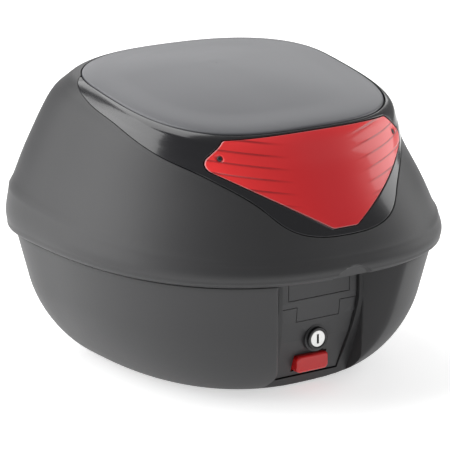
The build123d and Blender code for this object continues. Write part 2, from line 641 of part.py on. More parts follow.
def lock_panel():
    """Fixed panel under the lever: plate, lock collar, screw posts and the lever's cheeks."""
    outline = [(PANEL_HALF_LOW, PANEL_LOW_Z), (PANEL_HALF_TOP, PANEL_STRAIGHT_Z)]
    panel = panel_band(PANEL_LOW_Z, PANEL_STRAIGHT_Z) & prism_y(mirrored(outline), CUT_REAR, -100.0)
    half = TONGUE_HALF + JOINT_GAP
    panel = panel - block(-half, half, CUT_REAR, -100.0, TONGUE_LOW_Z - JOINT_GAP, 140.0)
    collar = rod((0, COLLAR_FACE_Y, LOCK_Z), (0, 1, 0), COLLAR_R, NUT_Y[0] - COLLAR_FACE_Y)
    panel = panel + collar
    middle = [(y + PANEL_THICK / 2, z) for y, z in PANEL_FACE]
    behind = prism_x(middle + [(-90.0, PANEL_LOW_Z), (-90.0, SHOULDER_Z)], CUT_HALF)
    for side in (-1, 1):
        x0, x1 = sorted((side * 41.0, side * CHEEK_X[1]))
        root = block(x0, x1, -138.6, -132.0, 66.0, 88.0)
        link0, link1 = sorted((side * 41.0, side * 44.6))
        link = block(link0, link1, -142.6, -132.0, 76.0, 88.0)
        c0, c1 = sorted((side * CHEEK_X[0], side * CHEEK_X[1]))
        cheek = block(c0, c1, -138.6, -120.0, 66.0, 100.0) + block(c0, c1, -136.8, -120.0, 99.0, 124.0)
        panel = joined(panel, root, link, cheek)
        panel = panel - rod((c0 - 0.5, LEVER_PIVOT_Y, LEVER_PIVOT_Z), (1, 0, 0), PIN_R, 4.0)
    for seat, direction, length in panel_screw_places():
        post = rod((seat[0], POCKET_BACK_Y, seat[2]), direction, POST_R, 46.0) & behind
        panel = (panel + post) - rod(seat, direction, SCREW_R, length)
    opening = block(-BUTTON_HALF_X - 0.4, BUTTON_HALF_X + 0.4, -150.0, -110.0,
                    BUTTON_Z - BUTTON_HALF_Z - 0.4, BUTTON_Z + BUTTON_HALF_Z + 0.4)
    bore = rod((0, -150.0, LOCK_Z), (0, 1, 0), BARREL_R, 40.0)
    nut_seat = rod((0, NUT_Y[0], LOCK_Z), (0, 1, 0), NUT_R + 0.2, 10.0)
    return cut(panel, opening, bore, nut_seat)


# ---------------------------------------------------------------- lock
def lock_barrel():
    length = CAM_Y[0] - 1.0 - COLLAR_FACE_Y
    tube = rod((0, COLLAR_FACE_Y, LOCK_Z), (0, 1, 0), BARREL_R, length)
    return tube - rod((0, -150.0, LOCK_Z), (0, 1, 0), PLUG_R + RUNNING_GAP, 40.0)


def lock_bezel():
    """Black ring round the plug, in front of the panel's collar."""
    ring = rod((0, BEZEL_FACE_Y, LOCK_Z), (0, 1, 0), BEZEL_R, COLLAR_FACE_Y - BEZEL_FACE_Y)
    return ring - rod((0, -150.0, LOCK_Z), (0, 1, 0), PLUG_R + RUNNING_GAP + 0.2, 40.0)


def lock_nut():
    """Hexagon nut that clamps the barrel to the panel."""
    points = [(NUT_R * cos(pi * k / 3), LOCK_Z + NUT_R * sin(pi * k / 3)) for k in range(6)]
    return prism_y(points, *NUT_Y) - rod((0, -150.0, LOCK_Z), (0, 1, 0), BARREL_R, 40.0)


def lock_plug():
    """Plug with the key slot in its face and a tail that carries the cam."""
    body = rod((0, PLUG_FACE_Y, LOCK_Z), (0, 1, 0), PLUG_R, CAM_Y[0] - PLUG_FACE_Y)
    tail = rod((0, CAM_Y[0], LOCK_Z), (0, 1, 0), TAIL_R, CAM_Y[1] - CAM_Y[0])
    width, height, depth = KEY_SLOT
    slot = block(-width / 2, width / 2, PLUG_FACE_Y - 1, PLUG_FACE_Y + depth,
                 LOCK_Z - height / 2, LOCK_Z + height / 2)
    return cut(body + tail, slot, rod((0, -134.0, LOCK_Z), (0, 1, 0), SCREW_R, 20.0))


def lock_cam():
    hub = rod((0, CAM_Y[0], LOCK_Z), (0, 1, 0), HUB_R, CAM_Y[1] - CAM_Y[0])
    arm = block(0.0, CAM_REACH, *CAM_Y, LOCK_Z - CAM_HALF, LOCK_Z + CAM_HALF)
    return (hub + arm) - rod((0, -130.0, LOCK_Z), (0, 1, 0), TAIL_R, 10.0)


def cam_screw():
    return screw((0, CAM_Y[1], LOCK_Z), (0, -1, 0), 8.0, 5.5, 1.8)


# ---------------------------------------------------------------- release
def release_button():
    """Red push button with a flange behind the panel and a round nose on its stem."""
    low, high = BUTTON_Z - BUTTON_HALF_Z, BUTTON_Z + BUTTON_HALF_Z
    cap = block(-BUTTON_HALF_X, BUTTON_HALF_X, BUTTON_FACE_Y, BUTTON_BACK_Y, low, high)
    cap = fillet(cap.edges().filter_by(Axis.Y), 5.0)
    cap = fillet(cap.faces().sort_by(Axis.Y)[0].edges(), 3.0)
    flange = block(-21.5, 21.5, -120.4, BUTTON_BACK_Y, low - 2.0, high + 1.6)
    nose_y = HOOK_FACE_Y - NOSE_R - NOSE_GAP
    stem = block(-4.0, 4.0, BUTTON_BACK_Y, nose_y, STEM_Z - NOSE_R, STEM_Z + NOSE_R)
    nose = rod((-4.0, nose_y, STEM_Z), (1, 0, 0), NOSE_R, 8.0)
    return joined(cap, flange, stem, nose)


def button_springs():
    """Two coil springs between the button's flange and the pocket's back wall."""
    springs = []
    length = POCKET_BACK_Y - BUTTON_BACK_Y - 2 * SPRING_WIRE - 0.2
    for x in (-SPRING_X, SPRING_X):
        path = Helix(length / 7, length, SPRING_R)
        wire = sweep(Plane(path @ 0, z_dir=path % 0) * Circle(SPRING_WIRE), path)
        place = Plane(origin=(x, BUTTON_BACK_Y + SPRING_WIRE + 0.1, BUTTON_Z), z_dir=(0, 1, 0))
        springs.append((place * wire).solid())
    return Compound(springs)


def plate_hook():
    """Hook for the rack plate's rear tab, with the arm that the button pushes."""
    boss = rod((-9.0, HOOK_PIVOT_Y, HOOK_PIVOT_Z), (1, 0, 0), 4.4, 18.0)
    arm = block(-5.0, 5.0, HOOK_FACE_Y, HOOK_FACE_Y + 4.0, HOOK_PIVOT_Z, STEM_Z + 5.0)
    shank = block(-9.0, 9.0, HOOK_PIVOT_Y - 2.5, HOOK_PIVOT_Y + 2.0, 3.5, HOOK_PIVOT_Z)
    toe = block(-9.0, 9.0, HOOK_PIVOT_Y - 2.5, HOOK_PIVOT_Y + 4.0, 3.5, 6.5)
    hook = joined(boss, arm, shank, toe)
    return hook - rod((-12.0, HOOK_PIVOT_Y, HOOK_PIVOT_Z), (1, 0, 0), PIN_R + RUNNING_GAP, 24.0)


def hook_bracket():
    """Steel bracket on the pocket's back wall that carries the hook's pin."""
    plate = block(-20.0, 20.0, POCKET_BACK_Y - 2.0, POCKET_BACK_Y, POCKET_LOW_Z + 0.6, 20.0)
    ears = [block(x, x + 3.0, HOOK_PIVOT_Y - 4.5, POCKET_BACK_Y - 1.0, 9.0, 20.0) for x in (-12.8, 9.8)]
    bracket = joined(plate, *ears)
    return bracket - rod((-15.0, HOOK_PIVOT_Y, HOOK_PIVOT_Z), (1, 0, 0), PIN_R, 30.0)


def hook_pin():
    return rod((-13.4, HOOK_PIVOT_Y, HOOK_PIVOT_Z), (1, 0, 0), PIN_R, 26.8)


PIECES = [
    base_shell, rim_seal, front_catches, hinge_leaves, hinge_leaf_screws, hinge_pins,
    lock_panel, panel_screws, lever_pins, lock_barrel, lock_bezel, lock_nut, hook_bracket, hook_pin,
    button_springs, lid_shell, top_cover, cover_clips, gloss_trim, lens, reflector_backing, lens_screws,
    hinge_arms, hinge_arm_screws, latch_tray, latch_hanger, hanger_screws,
    latch_lever, lock_plug, lock_cam, cam_screw, release_button, plate_hook,
]

if __name__ == "__main__":
    os.makedirs("parts", exist_ok=True)
    with SkipClean():
        for piece in PIECES:
            export_step(piece(), f"parts/{piece.__name__}.step")
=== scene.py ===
import math
import bmesh
import bpy
import numpy as np
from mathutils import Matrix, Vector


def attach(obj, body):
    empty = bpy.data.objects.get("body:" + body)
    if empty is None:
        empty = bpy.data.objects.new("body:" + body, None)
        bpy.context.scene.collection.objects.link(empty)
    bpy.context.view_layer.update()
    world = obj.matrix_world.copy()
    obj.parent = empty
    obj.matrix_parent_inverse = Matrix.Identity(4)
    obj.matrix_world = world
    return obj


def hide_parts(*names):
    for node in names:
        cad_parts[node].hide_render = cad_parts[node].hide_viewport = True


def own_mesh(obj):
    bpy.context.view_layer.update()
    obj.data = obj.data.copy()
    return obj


# A motorcycle top case, put together from the base up. Shapes are worked out in millimetres on the
# frame's axes: +X right seen from behind, -Y the rear with the lock, +Z up. mesh_of writes metres.
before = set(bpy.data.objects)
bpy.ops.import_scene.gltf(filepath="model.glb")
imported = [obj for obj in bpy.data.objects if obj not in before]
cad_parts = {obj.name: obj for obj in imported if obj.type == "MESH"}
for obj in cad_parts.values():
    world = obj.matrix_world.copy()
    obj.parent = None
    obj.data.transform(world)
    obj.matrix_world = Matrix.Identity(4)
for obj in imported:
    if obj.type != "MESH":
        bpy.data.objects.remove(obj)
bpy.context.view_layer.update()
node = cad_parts

# ---------------------------------------------------------------- studio
# The case stands on a wide white floor. Tall softboxes light its two sides, one hangs over it and a
# low one behind it glances off the cover, so the face that looks at the camera stays darkest.
CAMERA_AZIMUTH, CAMERA_ELEVATION = math.radians(33.7), math.radians(15.5)
CAMERA_DISTANCE, CAMERA_LENS = 2.6016, 200.9
CAMERA_TARGET = np.array([0.0125, 0.0403, 0.1256])
FLOOR_HALF = 9.0
SOFTBOXES = [
    # name, azimuth and elevation seen from the case, distance, width, height, power
    ("left_box", -118.0, 20.0, 1.9, 1.5, 1.6, 30.0),
    ("right_box", 78.0, 22.0, 2.0, 1.1, 1.5, 15.0),
    ("top_box", -150.0, 64.0, 1.9, 1.8, 1.4, 26.0),
    ("back_box", 150.0, 30.0, 2.2, 2.2, 1.0, 11.0),
]
BACKDROP_LIGHT = 0.3
FLOOR_GLOW = 0.56


def looking_from(azimuth, elevation):
    """Unit vector from the case towards a viewer: azimuth 0 is behind it (-Y), growing towards +X."""
    return np.array([math.sin(azimuth) * math.cos(elevation), -math.cos(azimuth) * math.cos(elevation),
                     math.sin(elevation)])


def aim(thing, place, target):
    """Puts a light or camera at a place, with its own -Z pointing at the target."""
    away = Vector(place) - Vector(target)
    thing.rotation_mode = "QUATERNION"
    thing.rotation_quaternion = away.to_track_quat("Z", "Y")
    thing.location = place


camera = bpy.data.objects.new("camera", bpy.data.cameras.new("camera"))
bpy.context.scene.collection.objects.link(camera)
bpy.context.scene.camera = camera
camera.data.lens = CAMERA_LENS
camera.data.sensor_width = 36.0
camera.data.clip_end = 40.0
toward_camera = looking_from(-CAMERA_AZIMUTH, CAMERA_ELEVATION)
aim(camera, CAMERA_TARGET + toward_camera * CAMERA_DISTANCE, CAMERA_TARGET)

for name, azimuth, elevation, distance, width, height, power in SOFTBOXES:
    lamp = bpy.data.lights.new(name, "AREA")
    lamp.shape = "RECTANGLE"
    lamp.size, lamp.size_y = width, height
    lamp.energy = power
    softbox = bpy.data.objects.new(name, lamp)
    bpy.context.scene.collection.objects.link(softbox)
    target = np.array([0.0, 0.0, 0.15])
    aim(softbox, target + looking_from(math.radians(azimuth), math.radians(elevation)) * distance, target)

world = bpy.data.worlds.new("studio")
bpy.context.scene.world = world
world.use_nodes = True
world.node_tree.nodes["Background"].inputs["Color"].default_value = (1.0, 1.0, 1.0, 1.0)
world.node_tree.nodes["Background"].inputs["Strength"].default_value = BACKDROP_LIGHT
bpy.context.scene.view_settings.view_transform = "Standard"


def new_material(name, color, roughness, metallic=0.0):
    """Principled material with plain values; returns its node tree and shader as well."""
    material = bpy.data.materials.new(name)
    material.use_nodes = True
    tree = material.node_tree
    shader = tree.nodes["Principled BSDF"]
    shader.inputs["Base Color"].default_value = (*color, 1.0)
    shader.inputs["Roughness"].default_value = roughness
    shader.inputs["Metallic"].default_value = metallic
    return material, tree, shader


floor_white, tree, shader = new_material("floor_white", (0.86, 0.86, 0.86), 0.9)
shader.inputs["Emission Color"].default_value = (1.0, 1.0, 1.0, 1.0)
shader.inputs["Emission Strength"].default_value = FLOOR_GLOW
floor_mesh = bpy.data.meshes.new("floor")
floor_corners = [(-FLOOR_HALF, -FLOOR_HALF, 0), (FLOOR_HALF, -FLOOR_HALF, 0),
                 (FLOOR_HALF, FLOOR_HALF, 0), (-FLOOR_HALF, FLOOR_HALF, 0)]
floor_mesh.from_pydata(floor_corners, [], [(0, 1, 2, 3)])
floor_mesh.materials.append(floor_white)
floor = bpy.data.objects.new("floor", floor_mesh)
bpy.context.scene.collection.objects.link(floor)

# ---------------------------------------------------------------- base
# The lower half is one injection moulding in dark grained plastic, about 3 mm thick: a round bottom
# edge, a lip for the seal, and a recess in the rear wall whose flanks flare out round the latch.
WIDEST_Y = 56.7
RIM_HALF, RIM_REAR, RIM_FRONT = 196.5, 252.7, 139.3
REAR_ROUND, FRONT_ROUND = 2.5, 3.0
RIM_Z, SHOULDER_Z, LIP_TOP_Z = 131.0, 130.0, 138.0
LIP_OUT, LIP_IN = (4.0, 2.4), (6.9, 5.3)     # inset from the rim, and step beside the recess
TUCK_Z, TUCK, TUCK_POWER = 80.0, 53.5, 1.89
LEAN, LEAN_START, REAR_FACTOR = 0.23, 1.65, 1.06
WALL, FLOOR_THICK = 3.0, 3.5
FLANK_CORNER = (50.5, -147.5)          # x, y where the flank starts
FLANK_SLOPES = (-1.444, -1.684)        # y per x, before and after the bend
FLANK_BEND = (73.0, -180.0)
RECESS_FACE_Z = [-5.0, 14.0, 36.0, 60.0, 80.0, 131.0, 160.0]
RECESS_FACE_Y = [-117.0, -124.0, -133.0, -141.5, -146.5, -147.5, -147.5]
POCKET_BACK_Y, POCKET_LOW_Z = -98.0, 12.0
POCKET_LOW_HALF, POCKET_TOP_HALF, POCKET_TOP_Z = 37.6, 46.2, 90.0
CORNER_ROUND = 3.4
GRAIN_PER_METRE = 900.0


def egg(angle, half, rear, front, rear_round, front_round):
    """Closed outline at a polar angle: |x / half|^n + |y / length|^n = 1, where the rear (y < 0) and
    the front have their own length and roundness n. Returns x and y."""
    c, s = np.cos(angle), np.sin(angle)
    length = np.where(s < 0, rear, front)
    n = np.where(s < 0, rear_round, front_round)
    radius = (np.abs(c / half) ** n + np.abs(s / length) ** n) ** (-1 / n)
    return radius * c, radius * s


def egg_rear_y(x, half, rear, rear_round):
    """y of the outline's rear part at a given x, from its own middle line."""
    return -rear * np.clip(1 - np.abs(x / half) ** rear_round, 0, 1) ** (1 / rear_round)


def smooth_curve(t, knots, values):
    """Cubic Hermite pieces through the values; the slope at a knot is its neighbours' chord."""
    knots, values = np.asarray(knots, float), np.asarray(values, float)
    slopes = np.gradient(values, knots, axis=0)
    i = np.clip(np.searchsorted(knots, t, side="right") - 1, 0, len(knots) - 2)
    h = knots[i + 1] - knots[i]
    s = (t - knots[i]) / h
    if values.ndim > 1:
        h, s = h[..., None], s[..., None]
    ends = (2 * s ** 3 - 3 * s ** 2 + 1) * values[i] + (3 * s ** 2 - 2 * s ** 3) * values[i + 1]
    return ends + h * ((s ** 3 - 2 * s ** 2 + s) * slopes[i] + (s ** 3 - s ** 2) * slopes[i + 1])


def larger(a, b, round_off):
    """The larger of two surfaces, with the crossing rounded off: (a + b + sqrt((a - b)^2 + k^2)) / 2."""
    return (a + b + np.sqrt((a - b) ** 2 + round_off ** 2)) / 2


def mesh_of(name, grid, closed_rows=False, sharp=35.0, highlight_rows=None):
    """Closed skin over a grid of points (rows, columns, xyz) in mm. Columns run round and join up;
    rows join up too when closed_rows is set, or else end in poles. Doubles merge, faces turn out.
    The last argument gives every row a value, kept as a point attribute that the lens material reads for a
    painted highlight."""
    rows, columns = grid.shape[:2]
    index = np.arange(rows * columns).reshape(rows, columns)
    if closed_rows:
        index = np.vstack([index, index[:1]])
    right = np.roll(index, -1, axis=1)
    quads = np.stack([index[:-1], right[:-1], right[1:], index[1:]], -1).reshape(-1, 4)
    mesh = bpy.data.meshes.new(name)
    mesh.from_pydata(grid.reshape(-1, 3) / 1000.0, [], quads.tolist())
    if highlight_rows is not None:
        rim_highlight = mesh.attributes.new("rim_highlight", "FLOAT", "POINT")
        rim_highlight.data.foreach_set("value", np.repeat(highlight_rows, columns).astype(float))
    work = bmesh.new()
    work.from_mesh(mesh)
    bmesh.ops.remove_doubles(work, verts=work.verts, dist=2e-6)
    bmesh.ops.dissolve_degenerate(work, edges=work.edges, dist=1e-7)
    bmesh.ops.recalc_face_normals(work, faces=work.faces)
    work.to_mesh(mesh)
    work.free()
    mesh.polygons.foreach_set("use_smooth", [True] * len(mesh.polygons))
    mesh.set_sharp_from_angle(angle=math.radians(sharp))
    thing = bpy.data.objects.new(name, mesh)
    bpy.context.scene.collection.objects.link(thing)
    return thing


def base_inset(z):
    """How far the base's outline has come in from the rim outline: a straight lean, plus below the
    tuck height a superellipse arc that ends flat on the floor."""
    t = np.clip((TUCK_Z - z) / TUCK_Z, 0, 1)
    return LEAN_START + LEAN * (RIM_Z - z) + TUCK * (1 - (1 - t ** TUCK_POWER) ** (1 / TUCK_POWER))


def base_ring(z, inset, step, pocket_open, leaning=True):
    """Horizontal outlines of the base, one row per height: down the right half from the front, along
    the flaring flank, the recess face and the lock pocket to the middle, then the mirrored left half.
    step moves the recess walls into the case; above the shoulder the outline no longer leans."""
    z, inset = np.broadcast_arrays(np.asarray(z, float), np.asarray(inset, float))
    z, inset = z[:, None], inset[:, None]
    rear_inset = inset * (REAR_FACTOR if leaning else 1.0)
    half, rear, front = RIM_HALF - inset, RIM_REAR - rear_inset, RIM_FRONT - inset
    angle = np.linspace(math.pi / 2, -math.radians(61.0), 120)[None, :]
    x_side, y_side = egg(angle, half, rear, front, REAR_ROUND, FRONT_ROUND)

    corner_x = FLANK_CORNER[0] + step
    along = np.linspace(0, 1, 56)[None, 1:]
    x_flank = x_side[:, -1:] + (corner_x - x_side[:, -1:]) * along
    egg_y = egg_rear_y(x_flank, half, rear, REAR_ROUND)
    slope_near, slope_far = FLANK_SLOPES
    near = FLANK_CORNER[1] + slope_near * (x_flank - corner_x)
    far = FLANK_BEND[1] + slope_far * (x_flank - FLANK_BEND[0] - 1.2 * step)
    y_flank = larger(egg_y + WIDEST_Y, np.minimum(near, far), CORNER_ROUND) - WIDEST_Y

    face_y = smooth_curve(z, RECESS_FACE_Z, RECESS_FACE_Y) if step == 0 else y_flank[:, -1:] + WIDEST_Y
    low_to_top = np.clip((z - POCKET_LOW_Z) / (POCKET_TOP_Z - POCKET_LOW_Z), 0, 1)
    pocket_x = POCKET_LOW_HALF + (POCKET_TOP_HALF - POCKET_LOW_HALF) * low_to_top if step == 0 else corner_x
    pocket_x = pocket_x + 0 * z
    back_y = np.where(pocket_open, POCKET_BACK_Y + step, face_y)
    wall = np.linspace(0, 1, 4)[None, 1:]
    flank_end = y_flank[:, -1:] + WIDEST_Y
    x_ledge = np.concatenate([corner_x + 0 * z * wall, corner_x + (pocket_x - corner_x) * wall,
                              pocket_x + 0 * wall, pocket_x * (1 - wall)], axis=1)
    y_ledge = np.concatenate([flank_end + (face_y - flank_end) * wall, face_y + 0 * wall,
                              face_y + (back_y - face_y) * wall, back_y + 0 * wall], axis=1)
    y_ledge = np.maximum(y_ledge, egg_rear_y(x_ledge, half, rear, REAR_ROUND) + WIDEST_Y) - WIDEST_Y

    x = np.concatenate([x_side, x_flank, x_ledge], axis=1)
    y = np.concatenate([y_side, y_flank, y_ledge], axis=1) + WIDEST_Y
    right = np.stack([x, y, z + 0 * x], -1)
    left = right[:, -2:0:-1] * np.array([-1.0, 1.0, 1.0])
    return np.concatenate([right, left], axis=1)


def shrunk(ring, scales, centre=(0.0, 30.0)):
    """Flat rows that draw one outline in to its centre, for a floor."""
    middle = np.array([*centre, ring[0, 2]])
    flat = (ring - middle) * np.array([1.0, 1.0, 0.0])[None, None, :]
    return middle + flat * np.asarray(scales)[:, None, None]


tuck_angle = np.linspace(0, math.pi / 2, 34)
low_z = TUCK_Z * (1 - np.cos(tuck_angle) ** (2 / TUCK_POWER))
low_z = np.unique(np.concatenate([low_z, [POCKET_LOW_Z]]))
wall_z = np.linspace(TUCK_Z, SHOULDER_Z - 1.4, 14)[1:]
outer_z = np.concatenate([low_z, wall_z])
closed_part, open_part = outer_z[outer_z <= POCKET_LOW_Z], outer_z[outer_z >= POCKET_LOW_Z]
shoulder_z = np.array([129.3, 129.8, 130.0])
shoulder_inset = base_inset(shoulder_z) + np.array([0.25, 0.8, 1.5])
inner_z = outer_z[::-1]
lift_to_floor = FLOOR_THICK + inner_z * (118.0 - FLOOR_THICK) / inner_z[0]
foot = base_ring(closed_part, base_inset(closed_part), 0.0, False)
inside = base_ring(lift_to_floor, base_inset(inner_z) + WALL, WALL, True)
base_grid = np.concatenate([
    shrunk(foot[0], [0.0, 0.3, 0.6, 0.85, 0.97]), foot,
    base_ring(open_part, base_inset(open_part), 0.0, True),
    base_ring(shoulder_z, shoulder_inset, 0.0, True),
    base_ring([SHOULDER_Z, LIP_TOP_Z - 0.6, LIP_TOP_Z], LIP_OUT[0] + np.array([0.0, 0.0, 0.5]), LIP_OUT[1],
              True, leaning=False),
    base_ring([LIP_TOP_Z, LIP_TOP_Z - 0.6, 121.5], LIP_IN[0] - np.array([0.5, 0.0, 0.0]), LIP_IN[1],
              True, leaning=False),
    inside, shrunk(inside[-1], [0.97, 0.85, 0.6, 0.3, 0.0]),
])
base = mesh_of("base_moulding", base_grid)


def add_grain(tree, shader, per_metre, depth, wear=0.04):
    """Fine moulded grain: two sizes of noise as bump, and a slow change in roughness over it."""
    nodes, links = tree.nodes, tree.links
    place = nodes.new("ShaderNodeTexCoord")
    fine, coarse, slow = (nodes.new("ShaderNodeTexNoise") for _ in range(3))
    for noise, scale in ((fine, per_metre), (coarse, per_metre / 4), (slow, 9.0)):
        noise.inputs["Scale"].default_value = scale
        noise.inputs["Detail"].default_value = 3.0
        links.new(place.outputs["Object"], noise.inputs["Vector"])
    mix = nodes.new("ShaderNodeMath")
    mix.operation = "ADD"
    links.new(fine.outputs["Fac"], mix.inputs[0])
    links.new(coarse.outputs["Fac"], mix.inputs[1])
    bump = nodes.new("ShaderNodeBump")
    bump.inputs["Strength"].default_value = 1.0
    bump.inputs["Distance"].default_value = depth
    links.new(mix.outputs[0], bump.inputs["Height"])
    links.new(bump.outputs["Normal"], shader.inputs["Normal"])
    spread = nodes.new("ShaderNodeMapRange")
    middle = shader.inputs["Roughness"].default_value
    spread.inputs["To Min"].default_value = middle - wear
    spread.inputs["To Max"].default_value = middle + wear
    links.new(slow.outputs["Fac"], spread.inputs["Value"])
    links.new(spread.outputs["Result"], shader.inputs["Roughness"])


def dress(thing, material):
    """Gives a piece or a CAD node one material in every slot."""
    thing.data.materials.clear()
    thing.data.materials.append(material)


grained_plastic, tree, shader = new_material("grained_plastic", (0.033, 0.033, 0.0345), 0.5)
shader.inputs["Specular IOR Level"].default_value = 0.42
add_grain(tree, shader, GRAIN_PER_METRE, 0.00006)
dress(base, grained_plastic)
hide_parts("base_shell")
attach(base, "base")

# ---------------------------------------------------------------- lid
# The upper half is a second moulding in the same grained plastic. A skirt hangs over the base's rim,
# a soft crease runs round above it, and the wall is stepped in where the trim, lens and cover lie.
SKIRT_Z = [131.0, 133.5, 141.0, 171.0]
SKIRT_SIZES = [
    # half width, rear, front, rear and front roundness, middle y, height, tilt
    (196.5, 252.7, 139.3, 2.5, 3.0, 56.7, 131.0, 0.0),
    (200.5, 256.7, 143.3, 2.5, 3.0, 56.7, 133.5, 0.0),
    (203.0, 259.2, 145.8, 2.5, 3.0, 56.7, 141.0, 0.01),
    (200.5, 256.5, 143.5, 2.5, 3.0, 56.7, 171.0, 0.07),
]
WALL_SIZES = [
    (200.5, 256.5, 143.5, 2.5, 3.0, 56.7, 171.0, 0.07),
    (183.5, 240.0, 132.5, 2.5, 2.95, 53.6, 212.0, 0.12),
    (165.0, 218.0, 118.0, 2.5, 2.9, 50.0, 254.0, 0.17),
    (156.0, 197.0, 106.5, 2.8, 2.7, 45.0, 274.0, 0.167),
    (144.5, 168.0, 91.5, 3.2, 2.5, 38.9, 289.4, 0.16),
]
CROWN_SCALES = [0.72, 0.42, 0.14, 0.004]
CROWN_RISE = 10.0
COVER_LEVEL = 4.05                 # where the cover's edge lies
TOP_LEVEL = len(WALL_SIZES) + len(CROWN_SCALES) - 1.0
CREASE_FLARE, CREASE_FADE = 1.6, 5.0
STEP_IN = 4.2                      # seat for the outer panels
TRIM_EDGE_Y = [-230.0, -187.0, -159.0, -121.0, -78.0, -17.0, 37.0, 80.0, 120.0]
TRIM_EDGE_Z = [136.0, 174.5, 203.5, 228.0, 244.0, 265.0, 279.0, 298.5, 322.0]
SCOOP_RADIUS, SCOOP_TOP_Z = 26.2, 143.0
LEDGE_Z, LEDGE_TOP_Z, LEDGE_INSET, RECESS_REACH = 141.0, 143.5, 9.0, 104.0
SCOOP_PLANE = (-206.5, 150.0, 0.683)   # y at height z, and y per z below it


def crown_sizes():
    """Sizes of the crown's rings: the cover's edge outline scaled down as it rises by r (1 - s^2)."""
    half, rear, front, rear_round, front_round, middle, z, tilt = WALL_SIZES[-1]
    rises = [CROWN_RISE * (1 - s * s) for s in CROWN_SCALES]
    return [(half * s, rear * s, front * s, rear_round, front_round, middle - rise * math.sin(tilt),
             z + rise * math.cos(tilt), tilt) for s, rise in zip(CROWN_SCALES, rises)]


LID_SIZES = np.array(WALL_SIZES + crown_sizes())


def tilted_ring(angle, sizes):
    """Point of an egg outline whose plane tilts about its widest line: y cos(tilt), z + y sin(tilt)."""
    half, rear, front, rear_round, front_round, middle, z, tilt = np.moveaxis(sizes, -1, 0)
    x, y = egg(angle, half, rear, front, rear_round, front_round)
    return np.stack(np.broadcast_arrays(x, middle + y * np.cos(tilt), z + y * np.sin(tilt)), -1)


def lid_point(angle, level):
    """Lid's outside above the crease at a polar angle and a level, 0 at the crease and TOP_LEVEL at
    the crown. A flare f (1 - e^(-dz / k)) that fades by the next level hollows it over the crease."""
    sizes = smooth_curve(level, np.arange(len(LID_SIZES)), LID_SIZES)
    rise = np.clip(sizes[..., 6] - LID_SIZES[0, 6], 0, None)
    fade = np.clip(1 - level, 0, 1) ** 2
    sizes[..., :3] -= (CREASE_FLARE * (1 - np.exp(-rise / CREASE_FADE)) * fade)[..., None]
    return tilted_ring(angle, sizes)


def lid_skin(angle, level, lift=0.0):
    """The same surface moved along its unit normal, across x up, by lift."""
    angle, level, lift = np.broadcast_arrays(np.asarray(angle, float), np.asarray(level, float), lift)
    inner = np.clip(level, 0.004, TOP_LEVEL - 0.05)
    across = lid_point(angle + 1e-3, inner) - lid_point(angle - 1e-3, inner)
    up = lid_point(angle, inner + 2e-3) - lid_point(angle, inner - 2e-3)
    normal = np.cross(across, up)
    normal /= np.linalg.norm(normal, axis=-1, keepdims=True)
    return lid_point(angle, level) + normal * lift[..., None]


def trim_level(angle):
    """Level at which the skin crosses the trim's lower edge, a curve z(y) seen from the side; at most
    the cover's edge."""
    levels = np.linspace(0, COVER_LEVEL, 240)[:, None]
    skin = lid_skin(angle[None, :], levels)
    above = skin[..., 2] - smooth_curve(skin[..., 1], TRIM_EDGE_Y, TRIM_EDGE_Z)
    first = np.argmax(above > 0, axis=0)
    column = np.arange(len(angle))
    low, high = above[np.maximum(first - 1, 0), column], above[first, column]
    share = np.where(first > 0, -low / np.where(first > 0, high - low, 1), 0)
    found = (np.maximum(first - 1, 0) + share) * COVER_LEVEL / 239
    return np.where(np.any(above > 0, axis=0), found, COVER_LEVEL)


def scooped(rings, depth):
    """Presses the finger scoop into the rear rim: inside an arch, points move in to a sloping plane."""
    x, y, z = rings[..., 0], rings[..., 1], rings[..., 2]
    reach = np.hypot(x, z - (SCOOP_TOP_Z - SCOOP_RADIUS)) - (SCOOP_RADIUS + depth)
    inside = np.clip(0.5 - reach / 1.6, 0, 1) * (y < 0)
    start_y, start_z, slope = SCOOP_PLANE
    plane = start_y + (start_z - z) * slope + depth
    moved = rings.copy()
    moved[..., 1] = y + inside * np.clip(plane - y, 0, None)
    return moved


rear_fine = np.radians(np.linspace(-7.6, 7.6, 64))
rest_of_turn = np.linspace(rear_fine[-1], 2 * math.pi + rear_fine[0], 330)[1:-1]
turn = np.concatenate([rear_fine, rest_of_turn]) - math.pi / 2
edge_level = trim_level(turn)
skirt_rows = np.unique(np.concatenate([np.linspace(131.0, 146.0, 17), np.linspace(146.0, 171.0, 9)]))
skirt_grid = np.repeat(skirt_rows[:, None], len(turn), 1)
skirt = scooped(tilted_ring(turn[None, :], smooth_curve(skirt_grid, SKIRT_Z, SKIRT_SIZES)), 0.0)


def skirt_inside(z, inset):
    """Inner outline of the skirt at one height, moved in from the rim outline."""
    sizes = np.array(SKIRT_SIZES[0])
    sizes[:3] -= inset
    sizes[6] = z
    return tilted_ring(turn, np.broadcast_to(sizes, (len(turn), 8)))


wall_share = 1 - np.linspace(1, 0, 34)[1:] ** 1.3
edge_steps = np.array([[-0.035, 0.0], [-0.016, -0.05], [-0.004, -0.35], [0.0, -0.9], [0.0, -STEP_IN]])
outside = [lid_skin(turn, (edge_level - 0.06) * share) for share in wall_share]
outside += [lid_skin(turn, edge_level + shift, lift) for shift, lift in edge_steps]
outside += [lid_skin(turn, edge_level + (TOP_LEVEL - edge_level) * share, -STEP_IN)
            for share in np.linspace(0, 1, 26)[1:]]
under = [lid_skin(turn, TOP_LEVEL * share, -6.4) for share in np.linspace(1, 0.02, 44)]
